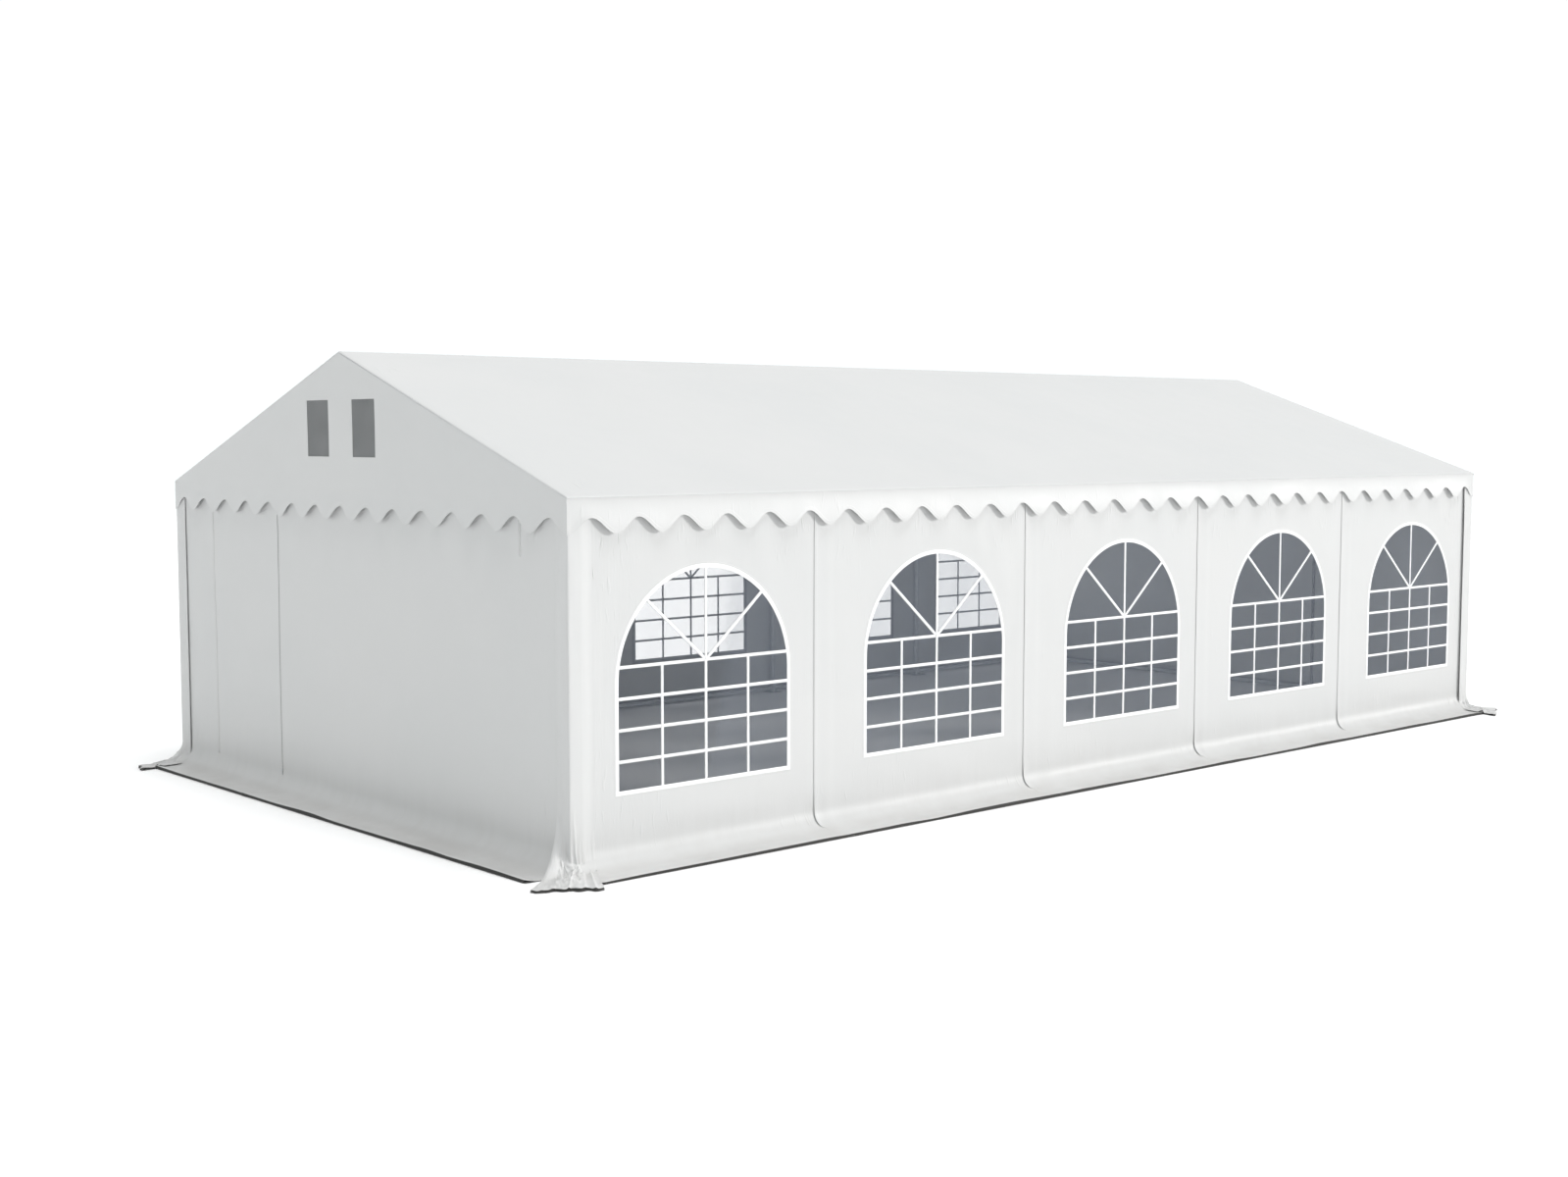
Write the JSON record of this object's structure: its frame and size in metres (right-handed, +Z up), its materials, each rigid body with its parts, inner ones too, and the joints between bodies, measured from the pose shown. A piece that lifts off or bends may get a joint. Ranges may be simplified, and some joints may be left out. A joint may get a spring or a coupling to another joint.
{
  "type": "party tent",
  "caption": "Long gabled party tent: white sheeting with round-topped windows, scalloped valance, gable vents and ground flaps over a steel tube frame.",
  "frame": {"origin": "centre of the plan, on the ground", "axes": "+X along the ridge, towards the end away from the pictured one; +Z up; the front long side faces -Y"},
  "size_m": [10.866, 5.94, 3.055],
  "materials": {
    "white_sheeting": "matt coated",
    "clear_film": "clear",
    "vent_mesh": "open mesh",
    "zinc_steel": "galvanised"
  },
  "bodies": {
    "root": {"roof_cover": "white_sheeting", "front_valance": "white_sheeting", "rear_valance": "white_sheeting", "left_gable": "white_sheeting", "right_gable": "white_sheeting", "left_gable_vent": "vent_mesh", "right_gable_vent": "vent_mesh", "front_wall_1": "white_sheeting", "front_wall_2": "white_sheeting", "front_wall_3": "white_sheeting", "front_wall_4": "white_sheeting", "front_wall_5": "white_sheeting", "rear_wall_1": "white_sheeting", "rear_wall_2": "white_sheeting", "rear_wall_3": "white_sheeting", "rear_wall_4": "white_sheeting", "rear_wall_5": "white_sheeting", "front_window_1": "clear_film", "front_window_2": "clear_film", "front_window_3": "clear_film", "front_window_4": "clear_film", "front_window_5": "clear_film", "rear_window_1": "clear_film", "rear_window_2": "clear_film", "rear_window_3": "clear_film", "rear_window_4": "clear_film", "rear_window_5": "clear_film", "left_end_wall_wide": "white_sheeting", "left_end_wall_narrow": "white_sheeting", "right_end_wall_wide": "white_sheeting", "right_end_wall_narrow": "white_sheeting", "front_left_corner_cover": "white_sheeting", "front_right_corner_cover": "white_sheeting", "rear_left_corner_cover": "white_sheeting", "rear_right_corner_cover": "white_sheeting", "portal_frame_1": "zinc_steel", "portal_frame_2": "zinc_steel", "portal_frame_3": "zinc_steel", "portal_frame_4": "zinc_steel", "portal_frame_5": "zinc_steel", "portal_frame_6": "zinc_steel", "ridge_purlin": "zinc_steel", "front_eave_purlin": "zinc_steel", "rear_eave_purlin": "zinc_steel", "front_ground_bar": "zinc_steel", "rear_ground_bar": "zinc_steel"}
  },
  "joints": []
}
